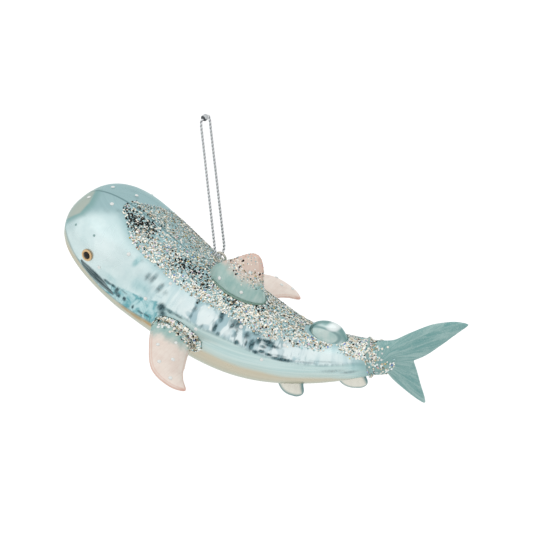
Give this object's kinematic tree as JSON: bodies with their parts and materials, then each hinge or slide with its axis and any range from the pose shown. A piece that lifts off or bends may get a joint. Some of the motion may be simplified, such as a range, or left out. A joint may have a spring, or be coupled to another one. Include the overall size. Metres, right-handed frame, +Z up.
{
  "type": "hanging glass shark ornament",
  "caption": "Hollow blown-glass whale shark with glued-on painted fins, hung by a wire eye that rocks on a loop of silver cord.",
  "frame": {"origin": "where the loop of cord bears on its hook, at the underside of the knot", "axes": "+Z up along the hanging cord, -X towards the shark's nose, -Y towards the shark's left side"},
  "size_m": [0.1521, 0.0847, 0.1141],
  "materials": {
    "silvered_glass": "polished",
    "plug_resin": "satin",
    "silver_wire": "satin",
    "pink_fin_paint": "satin",
    "teal_fin_paint": "satin",
    "glitter_glue": "gloss",
    "amber_enamel": "gloss",
    "black_enamel": "gloss",
    "silver_cord": "satin"
  },
  "bodies": {
    "cord_loop": {"hanging_cord": "silver_cord", "cord_knot": "silver_cord"},
    "shark": {"glass_body": "silvered_glass", "neck_plug": "plug_resin", "hanger_wire": "silver_wire", "dorsal_fin": "pink_fin_paint", "dorsal_seat_bead": "glitter_glue", "caudal_fin": "teal_fin_paint", "tail_seat_bead": "glitter_glue", "pectoral_fin_left": "pink_fin_paint", "pectoral_seat_bead_left": "glitter_glue", "pectoral_fin_right": "pink_fin_paint", "pectoral_seat_bead_right": "glitter_glue", "iris_left": "amber_enamel", "pupil_left": "black_enamel", "iris_right": "amber_enamel", "pupil_right": "black_enamel"}
  },
  "joints": [
    {"name": "rock_on_cord", "type": "hinge", "parent": "cord_loop", "child": "shark", "pos_m": [0, 0, -0.057], "axis": [0, 1, 0], "range_deg": [-35, 45]}
  ]
}
